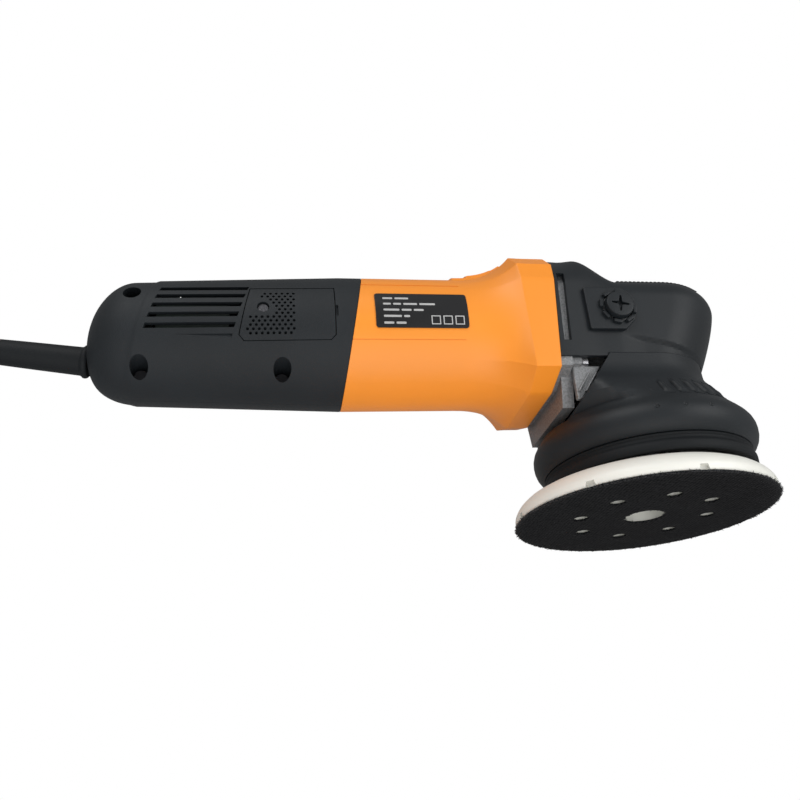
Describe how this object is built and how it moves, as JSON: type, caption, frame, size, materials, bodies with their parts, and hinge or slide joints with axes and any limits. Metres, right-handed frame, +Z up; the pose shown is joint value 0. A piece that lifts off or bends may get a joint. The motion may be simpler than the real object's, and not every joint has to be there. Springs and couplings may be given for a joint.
{
  "type": "dual action polisher",
  "caption": "Right-angle random-orbit polishing machine with a clamshell motor casing, geared head, shrouded eccentric spindle and a round hook-faced pad.",
  "frame": {"origin": "on the surface under the middle of the machine, cord set aside: the pad stands on z = 0", "axes": "+X along the motor towards the nose, +Y to the left of the user, +Z up along the spindle"},
  "size_m": [0.6663, 0.2264, 0.1595],
  "materials": {
    "black_plastic": "fine moulded texture, satin-matt",
    "orange_plastic": "moulded orange, low sheen",
    "cast_aluminium": "bead-blasted die casting",
    "steel": "turned",
    "dark_steel": "blackened",
    "copper": "enamelled copper",
    "white_plastic": "smooth off-white",
    "hook_fabric": "hook-and-loop hook side",
    "rubber": "soft matt rubber",
    "carbon": "carbon block",
    "board": "potted circuit board",
    "label_film": "printed film"
  },
  "bodies": {
    "root": {"casing_right": "black_plastic", "casing_left": "black_plastic", "brush_hatch_right": "black_plastic", "brush_hatch_left": "black_plastic", "head_cover": "black_plastic", "handle_plug_right": "black_plastic", "handle_plug_left": "black_plastic", "shroud": "black_plastic", "cord_clamp": "black_plastic", "air_baffle": "black_plastic", "switch_body": "black_plastic", "motor_housing": "orange_plastic", "gear_case": "cast_aluminium", "bearing_plate": "cast_aluminium", "case_screw_right": "steel", "case_screw_left": "steel", "rear_bearing": "steel", "front_bearing": "steel", "upper_spindle_bearing": "steel", "lower_spindle_bearing": "steel", "casing_screw_1": "dark_steel", "casing_screw_2": "dark_steel", "casing_screw_3": "dark_steel", "hatch_screw_right": "dark_steel", "hatch_screw_left": "dark_steel", "stator": "dark_steel", "field_coil_lower": "copper", "field_coil_upper": "copper", "brush_holder_right": "copper", "brush_holder_left": "copper", "brake_skirt": "rubber", "cord_guard": "rubber", "cord_lead": "rubber", "cord_coil": "rubber", "cord_tie": "rubber", "mains_plug": "rubber", "bearing_sleeve": "rubber", "carbon_brush_right": "carbon", "carbon_brush_left": "carbon", "speed_controller": "board", "rating_label": "label_film"},
    "spindle_unit": {"bevel_gear": "steel", "spindle": "steel", "counterweight": "dark_steel", "orbit_bearing_low": "steel", "orbit_bearing_high": "steel"},
    "pad": {"pad_arbor": "steel", "pad_bolt": "dark_steel", "backing_plate": "white_plastic", "hook_disc": "hook_fabric"},
    "armature": {"armature_shaft": "steel", "armature_core": "dark_steel", "armature_winding": "copper", "commutator": "copper", "fan": "black_plastic", "pinion": "steel"},
    "dial": {"speed_dial": "black_plastic"},
    "switch": {"switch_slider": "black_plastic", "switch_link": "white_plastic"}
  },
  "joints": [
    {"name": "spindle_spin", "type": "hinge", "parent": "root", "child": "spindle_unit", "pos_m": [0.1295, 0, 0.09], "axis": [0, 0, 1], "continuous": true},
    {"name": "pad_spin", "type": "hinge", "parent": "spindle_unit", "child": "pad", "pos_m": [0.122, 0, 0.045], "axis": [0, 0, 1], "continuous": true},
    {"name": "armature_spin", "type": "hinge", "parent": "root", "child": "armature", "pos_m": [-0.0205, 0, 0.114], "axis": [1, 0, 0], "continuous": true},
    {"name": "dial_turn", "type": "hinge", "parent": "root", "child": "dial", "pos_m": [-0.1505, 0, 0.14254], "axis": [1, 0, 0], "range_deg": [0, 270]},
    {"name": "switch_slide", "type": "slide", "parent": "root", "child": "switch", "axis": [1, 0, 0], "range_m": [0, 0.006]}
  ],
  "couplings": [
    {"joint": "armature_spin", "follows": "spindle_spin", "ratio": -3.8}
  ]
}
